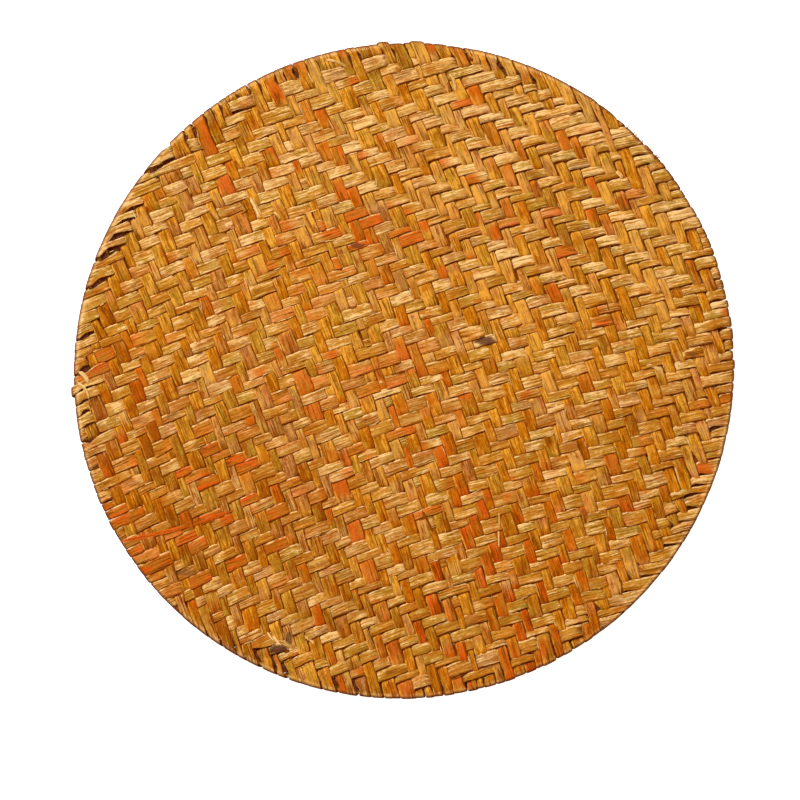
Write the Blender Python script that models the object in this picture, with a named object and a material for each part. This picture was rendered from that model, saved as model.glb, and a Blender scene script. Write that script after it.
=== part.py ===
"""Round placemat plaited from flattened water hyacinth strips, as one flat closed sheet.

Metres, +Z up. The mat lies on Z = 0 and its origin is the middle of its underside. The weft strips run across
it at WEFT_TURN from +X and the warp strips at WARP_TURN. Every strip is folded over the rim and turned under, so
the rim is a round, thicker band with a shallow slit between each strip end and the next.
"""

import math

import bpy
import bmesh

MAT_DIAMETER = 0.380
OVAL_RISE = 0.0013
OVAL_TURN = math.radians(30.0)

STRIP_PITCH = 0.00612
WEFT_TURN = math.radians(18.0)
WARP_TURN = math.radians(110.0)
WRAP_HALF_ARC = math.radians(45.0)

SHEET_THICKNESS = 0.0036
RIM_THICKNESS = 0.0045
RIM_BAND = 0.010
RIM_SLOPE = 0.016
RIM_CROWN = 0.0002
UNDER_ROUND = 0.0016
TOP_ROUND = 0.0018
SIDE_BULGE = 0.0005

SMOOTH_SLIT = 0.0003
STEPPED_SLIT = 0.0009
SMOOTH_STRAY = 0.00015
STEPPED_STRAY = 0.0005
QUICK_STRAY = (0.6, 2.4)
SLOW_STRAY = (0.4, 0.7)
SHOULDER_SHARE = 0.22
ARC_BLEND = math.radians(4.0)
# Arcs where each strip end is puffed up by itself, from and to, in degrees round from +X.
STEPPED_ARCS = ((-5.0, 55.0), (80.0, 95.0), (195.0, 232.0), (270.0, 315.0))
# Single strip ends that stand out of the rim: where, in degrees round from +X, and how far.
NUBS = ((87.2, 0.0013), (94.2, 0.0013), (184.1, 0.0016))
NUB_HALF_WIDTH = math.radians(0.9)

STRAW = (0.52, 0.25, 0.045, 1.0)


def smooth_step(low, high, value):
    """0 below low, 1 above high and a soft curve between them."""
    share = min(max((value - low) / (high - low), 0.0), 1.0)
    return share * share * (3.0 - 2.0 * share)


def turn_between(a, b):
    """The smaller angle between two directions."""
    return abs(math.remainder(a - b, math.tau))


def stepped_share(angle):
    """1 in the arcs where the strip ends are stepped, and 0 where the rim is smooth."""
    share = 0.0
    for first, last in STEPPED_ARCS:
        middle = math.radians((first + last) / 2)
        half = math.radians((last - first) / 2)
        share = max(share, 1.0 - smooth_step(half - ARC_BLEND, half + ARC_BLEND, turn_between(angle, middle)))
    return share


def nub(angle):
    """How far a single strip end stands out at this angle."""
    out = 0.0
    for where, height in NUBS:
        if turn_between(angle, math.radians(where)) < NUB_HALF_WIDTH:
            out = height
    return out


def stray(number):
    """A share from -1 to 1 for each strip end: a quick and a slow wave, counted round the rim."""
    quick = QUICK_STRAY[0] * math.sin(QUICK_STRAY[1] * number)
    slow = SLOW_STRAY[0] * math.sin(SLOW_STRAY[1] * number)
    return quick + slow


def slit_angles():
    """The angles of the slits between the strip ends, once round the rim.

    A strip wraps the rim only where it meets it at less than WRAP_HALF_ARC. Past that the other set wraps.
    """
    radius = MAT_DIAMETER / 2
    reach = int(radius * math.sin(WRAP_HALF_ARC) / STRIP_PITCH)
    angles = []
    for turn in (WEFT_TURN, WARP_TURN, WEFT_TURN + math.pi, WARP_TURN + math.pi):
        for strip in range(-reach, reach + 1):
            angles.append((turn + math.asin(strip * STRIP_PITCH / radius)) % math.tau)
    return sorted(angles)


def rim_points():
    """(angle, radius, slit depth) of every rim point: each slit, and the two shoulders of each strip end."""
    slits = slit_angles()
    points = []
    for number, angle in enumerate(slits):
        gap = (slits[(number + 1) % len(slits)] - angle) % math.tau
        middle = angle + gap / 2
        stepped = stepped_share(middle)
        depth = SMOOTH_SLIT + (STEPPED_SLIT - SMOOTH_SLIT) * stepped
        oval = OVAL_RISE * math.cos(2.0 * (middle - OVAL_TURN))
        uneven = (SMOOTH_STRAY + (STEPPED_STRAY - SMOOTH_STRAY) * stepped) * stray(number)
        radius = MAT_DIAMETER / 2 + oval + uneven + nub(middle)
        points.append((angle, radius, depth))
        points.append((angle + gap * SHOULDER_SHARE, radius, 0.0))
        points.append((angle + gap * (1.0 - SHOULDER_SHARE), radius, 0.0))
    return points


def rings():
    """(inset from the rim, height, share of the slits' depth) of each ring, from the underside round to the top."""
    return (
        (UNDER_ROUND, 0.0, 0.3),
        (SIDE_BULGE, 0.2 * RIM_THICKNESS, 1.0),
        (0.0, 0.5 * RIM_THICKNESS, 1.0),
        (SIDE_BULGE, 0.8 * RIM_THICKNESS, 1.0),
        (TOP_ROUND, RIM_THICKNESS, 0.5),
        (RIM_BAND, RIM_THICKNESS - RIM_CROWN, 0.0),
        (RIM_BAND + RIM_SLOPE, SHEET_THICKNESS, 0.0),
    )


def add_ring(mesh, points, inset, height, slit_share):
    """One closed loop of edges, a circle shaped to the rim at this inset and height."""
    made = bmesh.ops.create_circle(mesh, cap_ends=False, segments=len(points), radius=1.0)
    for vert, (angle, radius, depth) in zip(made["verts"], points):
        reach = radius - depth * slit_share - inset
        vert.co = (reach * math.cos(angle), reach * math.sin(angle), height)
    return list({edge for vert in made["verts"] for edge in vert.link_edges})


def centre_on_origin(mesh):
    """Moves the mat sideways so that the middle of its outline is the origin."""
    across = [vert.co.x for vert in mesh.verts]
    along = [vert.co.y for vert in mesh.verts]
    middle = ((min(across) + max(across)) / 2, (min(along) + max(along)) / 2, 0.0)
    bmesh.ops.translate(mesh, verts=mesh.verts, vec=(-middle[0], -middle[1], 0.0))


def straw_material():
    """Dry hyacinth straw, with a faint satin."""
    straw = bpy.data.materials.new("straw")
    straw.use_nodes = True
    shader = straw.node_tree.nodes["Principled BSDF"]
    shader.inputs["Base Color"].default_value = STRAW
    shader.inputs["Roughness"].default_value = 0.6
    shader.inputs["Metallic"].default_value = 0.0
    return straw


def build_mat(collection):
    """The mat: a stack of rim-shaped rings bridged into a round-edged sheet and filled above and below."""
    mesh = bmesh.new()
    points = rim_points()
    loops = [add_ring(mesh, points, *ring) for ring in rings()]
    for lower, upper in zip(loops, loops[1:]):
        bmesh.ops.bridge_loops(mesh, edges=lower + upper)
    bmesh.ops.edgeloop_fill(mesh, edges=loops[0])
    bmesh.ops.edgeloop_fill(mesh, edges=loops[-1])
    bmesh.ops.recalc_face_normals(mesh, faces=mesh.faces)
    centre_on_origin(mesh)

    data = bpy.data.meshes.new("mat")
    mesh.to_mesh(data)
    mesh.free()
    data.materials.append(straw_material())
    data.shade_smooth()
    data.set_sharp_from_angle(angle=math.radians(40.0))
    mat = bpy.data.objects.new("mat", data)
    collection.objects.link(mat)


def main():
    for old in list(bpy.data.objects):
        bpy.data.objects.remove(old)
    collection = bpy.data.collections.new("hyacinth_placemat")
    bpy.context.scene.collection.children.link(collection)
    build_mat(collection)


main()
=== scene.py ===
"""Dresses the round placemat: each water hyacinth strip as plaited, its ends turned under at the rim.

Metres, +Z up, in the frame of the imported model. The weft runs across the mat and the warp up it, over two
and under two, stepped so that the floats make nested diamonds round one crossing near the middle.
"""

import math

import bpy
import numpy as np
from bpy.props import FloatProperty, FloatVectorProperty, IntProperty, PointerProperty
from bpy.types import Operator, Panel, PropertyGroup
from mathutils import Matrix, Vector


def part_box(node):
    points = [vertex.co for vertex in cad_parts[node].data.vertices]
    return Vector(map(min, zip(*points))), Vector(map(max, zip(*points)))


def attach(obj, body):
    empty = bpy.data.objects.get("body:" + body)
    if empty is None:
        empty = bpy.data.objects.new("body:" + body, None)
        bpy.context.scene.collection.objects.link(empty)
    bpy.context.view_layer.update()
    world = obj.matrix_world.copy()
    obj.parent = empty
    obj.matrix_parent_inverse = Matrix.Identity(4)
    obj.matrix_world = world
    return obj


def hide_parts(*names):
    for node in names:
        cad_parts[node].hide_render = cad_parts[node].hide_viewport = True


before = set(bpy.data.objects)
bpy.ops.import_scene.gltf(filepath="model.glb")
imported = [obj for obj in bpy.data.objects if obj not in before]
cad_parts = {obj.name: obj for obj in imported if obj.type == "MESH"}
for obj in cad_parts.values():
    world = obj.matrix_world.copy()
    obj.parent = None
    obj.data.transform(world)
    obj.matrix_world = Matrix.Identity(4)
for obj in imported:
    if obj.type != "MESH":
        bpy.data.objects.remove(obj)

bl_info = {
    "name": "Plaited hyacinth placemat",
    "version": (1, 0, 0),
    "blender": (4, 5, 0),
    "location": "View3D > Sidebar > Placemat",
    "description": "Plaits a round placemat from flattened water hyacinth strips",
    "category": "Add Mesh",
}


def table(columns, *rows):
    """The rows of a table, each as a dict by its columns' names."""
    return [dict(zip(columns.split(), row)) for row in rows]


BODY = "root"
NODE = "mat"
LOW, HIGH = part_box(NODE)
RIM_THICKNESS = HIGH[2] - LOW[2]

SIDES = (-1, 1)
WEFT, WARP = 0, 1
KIND_NAMES = ("weft", "warp")
SEED = 1559

# The weave's sheet: how each set runs and bends, and the crossing that the diamonds nest round.
WEFT_TURN = math.radians(18.0)
WARP_TURN = math.radians(110.0)
WEFT_BEND = 0.70
WARP_BEND = 0.36
SPREAD = 0.05
DIAMOND_WARP, DIAMOND_WEFT = -3, 0
FLOAT = 2
# Strips are numbered from minus this to plus this, and their widths stray by this share, within limits.
STRIP_REACH = 34
WIDTH_SPREADS = (0.19, 0.25)
WIDTH_LIMIT = 1.4
MIDDLE_SEARCH = 0.12
REACH_LIMIT = 1.15
HALVINGS = 26
BAND_NAMES = (("near", "middle", "far"), ("left", "middle", "right"))

# The rim, as in the solid: slightly oval, and stepped in some arcs.
# An arc is two angles in degrees and a strength.
OVAL_RISE = 0.0013
OVAL_TURN = math.radians(30.0)
ARC_BLEND = math.radians(4.0)
STEPPED_ARCS = ((-5.0, 55.0, 1.0), (80.0, 95.0, 0.9), (195.0, 232.0, 0.40), (270.0, 315.0, 0.45))
# Strip ends that stand out of the rim: where, in degrees, and how far.
NUBS = ((87.2, 0.0013), (94.2, 0.0013), (184.1, 0.0016))
NUB_HALF_WIDTH = math.radians(0.9)

# Arcs where the warp strips wrap the rim. The weft strips wrap the rest of it.
WARP_WRAPS = ((49.0, 137.0), (225.0, 308.0))
# How many strips inside the rim the wrapping strips stay on top. It is further where they meet it at a
# slant, by the angle's cosine, and a ring of the other set then passes over just inside them.
RIM_FLOAT = 1.25
SLANT_FLOAT = 1.75
SLANT_RING = 2.55
RIM_SLANT = 0.93

# How far folds stray at a smooth and at a stepped rim, and how far a stepped one's corners are drawn in.
FOLD_STRAYS = (0.00012, 0.0005)
CORNER_CUT = 0.0004
# The weave lies high by the rim, on the turned ends, and slopes down inside them. A strip on top there has
# its middle this share of a thickness under the solid's top.
UNDER_RIM_TOP = 0.6
RIM_FLAT = 0.006
RIM_SLOPE = 0.020
# How far inside the rim the strips are pressed flat, from full to none.
RIM_PRESSED = (0.0018, 0.0060)
# How far inside the rim the other set is cut, and the shortest strip there is.
CUT_INSIDE = 0.0030
LEAST_INSIDE = 0.0040
# The gap under the mat, and the turned ends: how their length spreads, how far they rise, and where.
REST_GAP = 0.0001
TAIL_SPREAD = (0.7, 1.1)
TAIL_LIFT = 0.0004
TAIL_RISES = (0.4, 1.0)

# Wedge-shaped slits behind the rim: before it turns, a strip is drawn in on one side by a share of its
# width. Few strips have none, and as few are drawn in on the other side.
SLIT_DEPTHS = (0.14, 0.36)
SLIT_FEW = 0.2
# Where they are, in degrees, how deep, and how far inside the rim they start, are widest and end.
SLIT_ARCS = table(
    "arc depth reach",
    ((138.0, 198.0), 1.45, (0.0014, 0.0050, 0.0150)),
    ((200.0, 232.0), 0.50, (0.0016, 0.0050, 0.0110)),
    ((233.0, 265.0), 1.45, (0.0014, 0.0045, 0.0150)),
    ((266.0, 300.0), 0.50, (0.0020, 0.0050, 0.0100)),
    ((-55.0, -6.0), 1.15, (0.0045, 0.0100, 0.0150)),
    ((0.0, 60.0), 0.50, (0.0030, 0.0070, 0.0120)),
    ((62.0, 80.0), 1.30, (0.0020, 0.0060, 0.0120)),
    ((84.0, 137.0), 1.10, (0.0016, 0.0050, 0.0120)),
)
# How far inside the rim the layer below stays in deep shade, from full to none.
RIM_SHADE = (0.0125, 0.0165)

# A strip's section: spans across its face, how they crowd to the edges, and the points across its back.
FACE_SPANS = 10
EDGE_CROWDING = 0.62
BACK_ACROSS = (0.72, 0.0, -0.72, -1.0)
RING = FACE_SPANS + len(BACK_ACROSS)
THICKNESS_SPREAD = (0.90, 1.10)
# How squarely it falls to its dark and to its lit edge: between limits where it lies flat or is puffed up,
# and where the rim presses it. Then how round it is, and how thick: puffed up as a share of the flat half
# thickness, and pressed as a share of the whole.
FLAT_SQUARENESS = ((9.0, 16.0), (3.0, 5.0))
PUFFY_SQUARENESS = ((3.5, 6.0), (2.0, 2.8))
PRESSED_SQUARENESS = (10.0, 10.0)
FLAT_ROUNDNESS, PUFFY_ROUNDNESS, PRESSED_ROUNDNESS = 0.50, 0.60, 0.45
PUFFY_THICKNESS, PRESSED_THICKNESS = 1.75, 0.46
# Ribs along it: how many, how high, and the noise from which they show to full. Then a groove down its face.
RIB_COUNTS = (0, 2, 3, 4)
RIB_HEIGHTS = (0.00004, 0.00012)
RIB_SHOWS = (-1.0, 1.2)
GROOVE_DEPTHS = (0.0, 0.0, 0.0002, 0.0004)
GROOVE_PLACES = (-0.5, 0.5)
GROOVE_WIDTH = 0.16
# The share of a crossing in which a strip rises or dives, and the rows along it.
DIVE_SHARES = (0.14, 0.24)
DIVE_ROWS = (-1.0, -0.5, 0.0, 0.5, 1.0)
END_RUN = 0.012
END_STEP = 0.0012
CLOSEST_ROWS = 0.0003
TURN_ROWS = 7
TAIL_STEP = 0.0025
# Steps for working out a strip's heading and its slope.
HEADING_STEP = 1e-4
SLOPE_STEP = 2e-4

# How wide a strip is, as a share of its lane: in the field, and pressed at a smooth and a stepped rim.
STRIP_FILL = (1.075, 1.065)
RIM_FILLS = (1.05, 1.00)
# How much wider it is on top than where it dives, flat and puffed up, and how much a puffed one is drawn in.
BARREL = (0.030, 0.11)
PUFFY_GAP = 0.115
# How far a puffed weft strip bows aside, and how far a strip swells over and under what it crosses.
BOW = 0.00065
BOW_SHIFT = 0.4
SWELL = 0.00008
# How a strip wavers along its run: how far apart its changes are, and how great.
WAVERS = {
    "width": ((0.0170, 0.050), (0.0045, 0.030)),
    "side": ((0.0300, 0.00026), (0.0080, 0.00012)),
    "near_edge": ((0.0055, 0.00014),),
    "far_edge": ((0.0055, 0.00014),),
    "roll": ((0.0160, 0.045),),
    "height": ((0.0070, 0.00008),),
    "ribs": ((0.0130, 1.0),),
    "tone": ((0.0110, 0.15), (0.0340, 0.09)),
}
DYE_SPACING = 0.014
WAVER_REACH = 0.26
WAVER_LIMIT = 2.2
# Each strip lies like a shingle, its lit side tucked under its neighbour: which side it is, how steeply.
LIT_SIDE = (1.0, -1.0)
SHINGLE = 0.085
# Where strips are puffed up, not pressed flat: middle and radii. All patches fade out in the same way.
PATCH_FADE = (0.55, 1.15)
PUFFY_PATCHES = (
    ((0.105, 0.115), (0.130, 0.100)),
    ((0.030, -0.160), (0.120, 0.050)),
    ((0.170, -0.010), (0.035, 0.120)),
)

# Loose bits that lie on the weave: ends, greatest width, how far the middle bends aside, and dye.
BITS = table(
    "start end width bend dye",
    ((0.0547, -0.0814), (0.0545, -0.0925), 0.0009, 0.0002, "tan"),
    ((0.0546, -0.0915), (0.0549, -0.1020), 0.0011, 0.0000, "white"),
    ((-0.1640, -0.0985), (-0.0985, -0.0805), 0.0024, -0.0016, "red"),
    ((0.1590, 0.0078), (0.1695, 0.0122), 0.0028, 0.0008, "white"),
    # Painted shade: this dark bit is the shadowed gap under the torn white sliver in the row above.
    ((0.1610, 0.0066), (0.1668, 0.0085), 0.0014, 0.0003, "dark"),
    ((0.1390, 0.0036), (0.1490, -0.0004), 0.0017, 0.0008, "white"),
    ((0.1733, -0.0048), (0.1812, -0.0078), 0.0015, 0.0006, "white"),
    ((-0.0884, 0.1000), (-0.0826, 0.0884), 0.0026, 0.0002, "white"),
    ((-0.0941, 0.0900), (-0.0897, 0.0933), 0.0008, 0.0000, "dark"),
    ((-0.0752, 0.0916), (-0.0716, 0.0872), 0.0012, 0.0004, "white"),
    ((-0.0815, 0.0763), (-0.0797, 0.0752), 0.0013, 0.0002, "white"),
    ((-0.0142, -0.0062), (-0.0122, -0.0072), 0.0011, 0.0002, "white"),
    ((0.0104, -0.0809), (0.0167, -0.0935), 0.0014, 0.0003, "dark"),
    ((-0.1884, -0.0066), (-0.1816, -0.0166), 0.0018, 0.0016, "tan"),
    ((-0.1873, -0.0004), (-0.1818, -0.0073), 0.0022, 0.0010, "white"),
    ((-0.1738, -0.0685), (-0.1700, -0.0675), 0.0012, 0.0003, "white"),
    ((0.0262, 0.1716), (0.0298, 0.1618), 0.0020, 0.0008, "tan"),
    ((0.0372, 0.1808), (0.0398, 0.1785), 0.0016, 0.0000, "dark"),
    ((0.1222, 0.1150), (0.1262, 0.1108), 0.0020, 0.0004, "white"),
    ((-0.0450, 0.1790), (-0.0330, 0.1745), 0.0014, 0.0012, "green"),
    ((-0.0600, -0.1520), (-0.0500, -0.1600), 0.0013, 0.0010, "tan"),
    ((-0.0735, -0.1560), (-0.0655, -0.1590), 0.0017, 0.0006, "tan"),
    ((-0.0730, -0.1600), (-0.0655, -0.1618), 0.0018, -0.0005, "dark"),
    ((-0.0760, -0.1530), (-0.0698, -0.1612), 0.0011, 0.0005, "white"),
    ((-0.0790, -0.1505), (-0.0745, -0.1560), 0.0009, -0.0004, "white"),
)
# Tone, red, olive and pale shares, and shade, of each kind of loose bit.
BIT_DYES = {
    "white": ((1.15, 0.0, 0.0, 1.6), 0.0),
    "tan": ((0.80, 0.0, 0.0, 0.6), 0.0),
    "green": ((0.75, 0.0, 0.8, 0.7), 0.0),
    "red": ((0.55, 1.2, 0.0, 0.0), 0.0),
    "dark": ((0.10, 0.0, 0.0, 0.0), 0.9),
}
# Rows along a bit and points round it, its thickness by its width, how high its middle lifts, and its tips.
BIT_ROWS = 8
BIT_RING = 8
BIT_THICKNESS = 0.30
BIT_LIFT = 0.00038
BIT_TIP = 0.12
BIT_TAPER = 0.05
# How far apart bits lie in the straw's pattern, by their places.
BIT_GRAIN = (0.7, 0.9)
# Fibres split from the strips: how many, length, width and how far they stray from the strip's heading.
FIBRES = 260
FIBRE_LENGTHS = (0.003, 0.010)
FIBRE_WIDTHS = (0.00035, 0.00075)
FIBRE_STRAY = math.radians(4.0)
FIBRE_BEND = 0.03
FIBRE_TAPER = 0.35
FIBRE_DYES = ("tan", "white", "tan", "green", "dark")
# Frayed hairs that stick out of the rim: arc in degrees, how many, and length.
HAIR_ARCS = (((39.0, 46.0), 26, (0.0012, 0.0042)), ((46.0, 60.0), 10, (0.0006, 0.0020)))
HAIR_WIDTH = 0.00035
HAIR_BEND = 0.0003
HAIR_TURN = math.radians(50.0)
HAIR_ROOT = 0.0015

# Camera and light.
LENS, SENSOR = 85.0, 36.0
VIEW_WIDTH = 0.4608
VIEW_MIDDLE = (-0.0023, -0.0169)
LIGHTS = table(
    "name power size place colour",
    ("key_light", 107.5, 0.60, (-1.25, 1.70, 1.75), (0.75, 0.86, 1.0)),
    ("fill_light", 21.0, 1.8, (0.40, -0.10, 2.0), (1.0, 0.55, 0.12)),
)
WORLD = {"Color": (1.0, 0.70, 0.35, 1.0), "Strength": 0.05}
# The table: it is lit from below outside the mat, from none to full, and has a barely seen grey mottle.
TABLE_SIZE = 6.0
TABLE_GLOW = 0.98
SHADE_UNDER = (0.186, 0.1895)
MOTTLE_NOISE = (6.0, 3.0, 0.5)
MOTTLE_COVER = 0.04
MOTTLE_GREY = 0.50

# A painted highlight along the rim, from full to none, a painted shadow line on the fold itself, and deep
# painted shade on the layer below, seen through the slits by the rim.
RIM_PAINTED_HIGHLIGHT = (0.0021, 0.0036)
RIM_PALENESS = 1.8
FOLD_DARKENS = (0.22, 0.75)
FOLD_CLEARS = (2.0, 2.7)
FOLD_SHADE = 1.10
FOLD_DEEP_SHADE = 0.45
RIM_DEEP_SHADE = 0.75
# Shade where a strip dives under, from none to full, and along the outer part of a puffed strip's edges.
DIVE_SHADE = (-0.15, 0.85)
DEEP_UNDER = (0.2, 0.9)
PUFFY_EDGE = 0.55
EDGE_BAND = 0.9

# A strip's tone: its mean, and how much whole strips differ.
MEAN_TONE = 0.5
OWN_TONE = 0.13
# Dyes: the share of strips that have one, its strength, and the noise from which flecks show to full.
DYES = {
    "red": {"strips": 0.05, "strength": 0.75, "flecks": (0.9, 2.1)},
    "olive": {"strips": 0.26, "strength": 0.75, "flecks": (0.6, 1.7)},
    "pale": {"strips": 0.05, "strength": 0.65, "flecks": (0.9, 2.0)},
    "pink": {"strips": 0.07, "strength": 0.75, "flecks": (0.6, 1.8)},
}
# The same noise for a strip that is dyed all along, and in a patch.
DYED_STRIP = (-1.6, 1.2)
DYED_PATCH = (-1.3, 0.5)

# Patches where some strips of one set take a colour: middle, radii, share of those strips and strength.
DYE_PATCHES = table(
    "dye kind middle radii strips strength",
    ("red", WEFT, (-0.128, -0.080), (0.085, 0.060), 0.62, 1.00),
    ("red", WARP, (0.045, -0.130), (0.068, 0.078), 0.42, 1.05),
    ("red", WARP, (0.010, -0.010), (0.035, 0.060), 0.45, 0.70),
    ("red", WEFT, (-0.035, 0.075), (0.070, 0.025), 0.55, 0.80),
    ("red", WARP, (-0.165, -0.030), (0.035, 0.055), 0.45, 0.75),
    ("red", WARP, (0.075, 0.100), (0.060, 0.060), 0.30, 0.55),
    ("red", WEFT, (-0.035, -0.005), (0.090, 0.065), 0.40, 0.50),
    ("olive", WEFT, (0.110, 0.100), (0.120, 0.100), 0.50, 0.65),
    ("pale", WEFT, (-0.110, -0.080), (0.110, 0.100), 0.50, 0.65),
    ("olive", WARP, (-0.172, -0.060), (0.011, 0.010), 1.00, 1.10),
    ("pale", WARP, (-0.172, -0.060), (0.011, 0.010), 1.00, 0.90),
    ("pink", WEFT, (-0.105, -0.075), (0.110, 0.095), 0.40, 0.90),
    ("pale", WEFT, (0.020, 0.150), (0.110, 0.050), 0.45, 0.60),
    ("pink", WEFT, (-0.020, 0.020), (0.150, 0.120), 0.30, 0.60),
    ("pale", WEFT, (0.095, 0.110), (0.110, 0.085), 0.35, 0.38),
    ("pale", WARP, (0.060, 0.120), (0.140, 0.090), 0.60, 0.55),
    ("pale", WEFT, (-0.060, 0.130), (0.100, 0.060), 0.50, 0.45),
    ("olive", WARP, (-0.070, 0.050), (0.120, 0.100), 0.35, 0.55),
    ("olive", WARP, (-0.015, 0.160), (0.060, 0.035), 0.60, 1.00),
    ("olive", WARP, (0.070, 0.120), (0.130, 0.080), 0.45, 0.60),
    ("olive", WARP, (-0.120, -0.080), (0.110, 0.100), 0.60, 0.80),
    ("olive", WEFT, (-0.090, 0.110), (0.110, 0.080), 0.45, 0.50),
    ("olive", WEFT, (-0.050, -0.060), (0.130, 0.090), 0.30, 0.60),
    ("olive", WEFT, (0.110, -0.040), (0.090, 0.120), 0.35, 0.55),
)
# Dark spots, each on the nearest float of one set: place, radii and strength. Then where they fade in and are
# full, and how ragged they are.
STAINS = table(
    "kind near radii strength",
    (WEFT, (0.048, 0.026), (0.0064, 0.0028), 0.86),
    (WEFT, (-0.029, 0.077), (0.0046, 0.0018), 0.70),
    (WEFT, (-0.069, -0.159), (0.0054, 0.0028), 0.90),
    (WARP, (-0.069, -0.159), (0.0024, 0.0046), 0.70),
    (WEFT, (0.163, 0.010), (0.0036, 0.0018), 0.55),
    (WARP, (0.105, -0.084), (0.0024, 0.0054), 0.34),
    (WARP, (0.112, -0.108), (0.0024, 0.0054), 0.28),
    (WARP, (0.080, 0.108), (0.0024, 0.0054), 0.34),
    (WEFT, (0.081, 0.115), (0.0058, 0.0022), 0.26),
    (WEFT, (0.105, 0.122), (0.0058, 0.0022), 0.26),
    (WEFT, (-0.145, -0.029), (0.0058, 0.0022), 0.32),
    (WEFT, (-0.127, -0.117), (0.0066, 0.0020), 0.44),
    (WEFT, (-0.156, -0.072), (0.0058, 0.0020), 0.28),
    (WEFT, (-0.139, -0.021), (0.0056, 0.0020), 0.28),
)
STAIN_EDGE = (1.12, 0.66)
STAIN_STRAY = 0.9
# The straw's noises: how fine along and across, which part of the noise, its detail and roughness.
STRAW_NOISES = table(
    "name scale part detail roughness",
    ("cloud", (150.0, 170.0), 17.0, 2.0, 0.5),
    ("broad", (40.0, 520.0), 0.0, 2.0, 0.55),
    ("strand", (75.0, 1150.0), 3.0, 2.0, 0.6),
    ("fibre", (150.0, 2500.0), 5.0, 3.0, 0.65),
    ("mottle", (520.0, 700.0), 9.0, 3.0, 0.6),
    ("split", (16.0, 420.0), 21.0, 1.0, 0.5),
    ("where_split", (45.0, 140.0), 31.0, 1.0, 0.5),
    ("hue", (60.0, 240.0), 51.0, 2.0, 0.55),
    ("frayed", (260.0, 300.0), 41.0, 2.0, 0.5),
    ("worn", (130.0, 120.0), 61.0, 1.0, 0.5),
)
# How much each noise streaks and clouds the straw, and how high it stands in the bumps.
GRAIN = {"broad": 2.2, "strand": 2.4, "fibre": 1.7}
CLOUDS = {"mottle": 1.6, "cloud": 1.6}
RELIEF = {"strand": 1.0, "fibre": 0.5, "broad": 0.7, "mottle": 0.4}
BUMP = {"Strength": 0.9, "Distance": 0.0009}
# Roughness: its mean, and how much the fibre and the shade change it.
ROUGHNESS = (0.50, 0.4, 0.2)
SHEEN = {"Specular IOR Level": 0.16, "Specular Tint": (1.0, 0.70, 0.22, 1.0)}
# Marks on the straw: where they start and are full on their noise, light or edge, and how far they cover. The
# edge marks are a painted highlight on the lit edge and a painted shadow line on the dark edge, both broken
# up by noise.
MARKS = {
    "reddish": (0.52, 0.70, 0.34),
    "greenish": (0.48, 0.32, 0.60),
    "deep streak": (0.42, -0.15, 0.85),
    "pale streak": (0.56, 1.18, 0.92),
    "ember": (0.60, 1.05, 0.42),
    "crack": (0.035, 0.0, 1.0),
    "split": (0.47, 0.57, 1.0),
    "painted edge highlight": (0.82, 0.92, 0.95),
    "frayed": (0.38, 0.62, 1.0),
    "painted shadow line": (0.115, 0.050, 0.98),
    "worn": (0.28, 0.55, 1.0),
}
CRACK_COVER, RED_CRACK_COVER, CRACK_DEPTH = 0.72, 0.6, 0.8
# How much of each dye shows: everywhere, and with the clouds and the grain. Red hides what is pale.
DYE_SHOWS = {
    "olive": (0.6, 0.7),
    "pink": (0.5, 0.9),
    "red": (0.75, 0.4, 0.7),
    "pale": (0.45, 0.4, 0.6),
}
RED_HIDES = 1.4
# How fully the painted shade takes the crevice colour, and how ragged the painted shadow line along the dark
# edge is.
SHADE_COVER = 0.96
RAGGEDNESS = 0.14
# Painted light and shade: regions where all strips are paler, or darker if negative, paler toward the top and
# top right and darker toward the bottom left: middle, radii and how much.
FALLOFF_PATCHES = table(
    "middle radii change",
    ((-0.135, -0.090), (0.110, 0.110), -0.22),
    ((0.070, -0.130), (0.120, 0.080), -0.10),
    ((0.010, 0.000), (0.090, 0.080), 0.09),
    ((0.000, 0.150), (0.120, 0.060), 0.08),
    ((0.120, 0.090), (0.110, 0.120), 0.17),
    ((-0.080, 0.110), (0.110, 0.100), 0.05),
)


def length_property(name, description, length):
    """A length to choose in the panel."""
    return FloatProperty(name=name, description=description, default=length, unit="LENGTH")


def colour_property(name, description, colour):
    """A colour to choose in the panel, as linear red, green and blue."""
    return FloatVectorProperty(
        name=name, description=description, default=colour, subtype="COLOR", size=3, min=0.0, max=1.0
    )


class MatSizes(PropertyGroup):
    """The sizes that a maker would choose."""

    diameter: length_property("Diameter", "Mean diameter of the mat", 0.380)
    pitch: length_property("Strip pitch", "From one strip to the next", 0.00612)
    thickness: length_property("Strip thickness", "At the middle of a strip", 0.00108)
    wave: length_property("Wave", "How far a strip rises and falls", 0.00060)
    tail: length_property("Tail", "Length turned under at the rim", 0.014)
    seed: IntProperty(name="Seed", description="Which uneven strips are drawn", default=SEED)


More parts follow.
